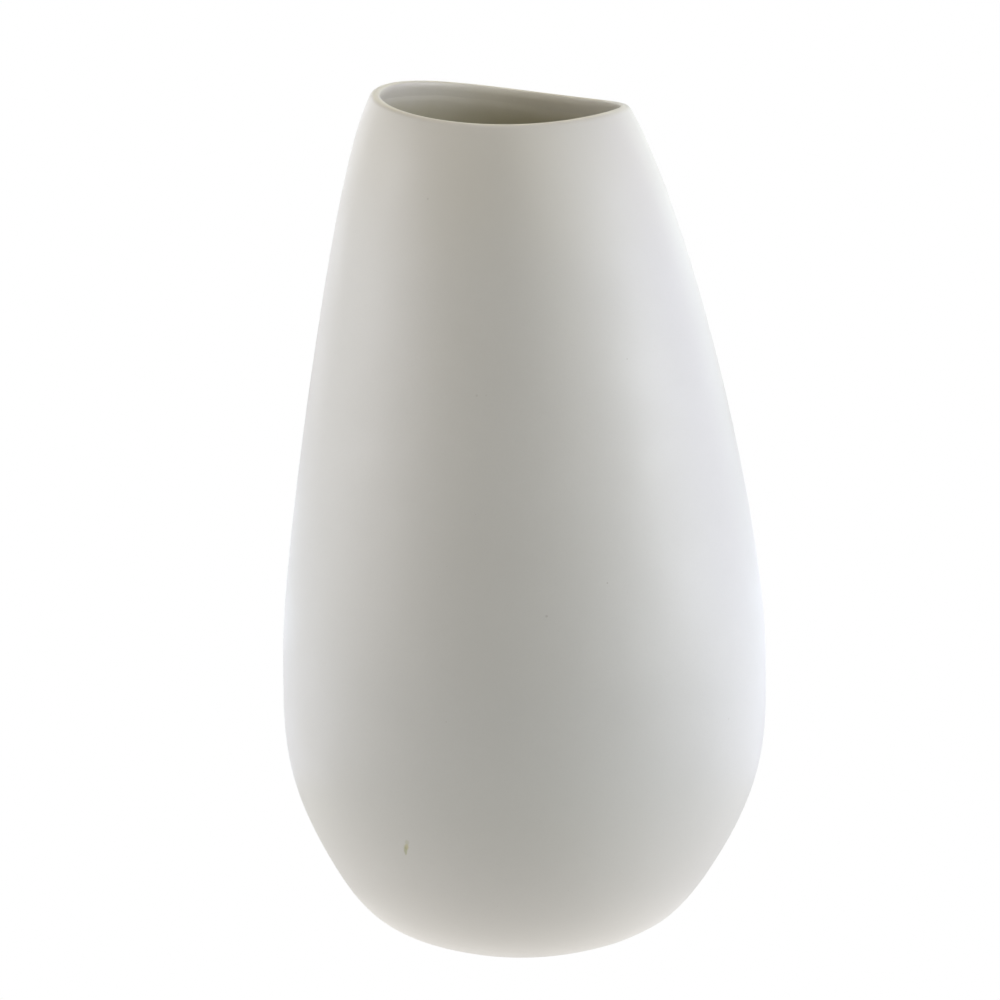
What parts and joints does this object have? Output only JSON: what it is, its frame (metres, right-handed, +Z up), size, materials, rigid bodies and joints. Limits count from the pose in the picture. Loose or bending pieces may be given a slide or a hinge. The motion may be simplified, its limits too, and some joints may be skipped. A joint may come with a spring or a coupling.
{
  "type": "flower vase",
  "caption": "Tall, full-bellied porcelain vase that tapers and bows to a small mouth with a gently waved rim; matte outside, glazed inside.",
  "frame": {"origin": "middle of the bounding box's bottom face: on the surface that the vase stands on, under the axis of its belly", "axes": "+Z up the vase; the centre line bows towards -X, so the mouth is on the -X side; -Y is the side that faces the viewer when the mouth is on the left"},
  "size_m": [0.1669, 0.1668, 0.2958],
  "materials": {
    "bisque_porcelain": "matte, unglazed and polished smooth",
    "clear_glaze": "glossy"
  },
  "bodies": {
    "root": {"vase_body": "bisque_porcelain", "inner_glaze": "clear_glaze"}
  },
  "joints": []
}
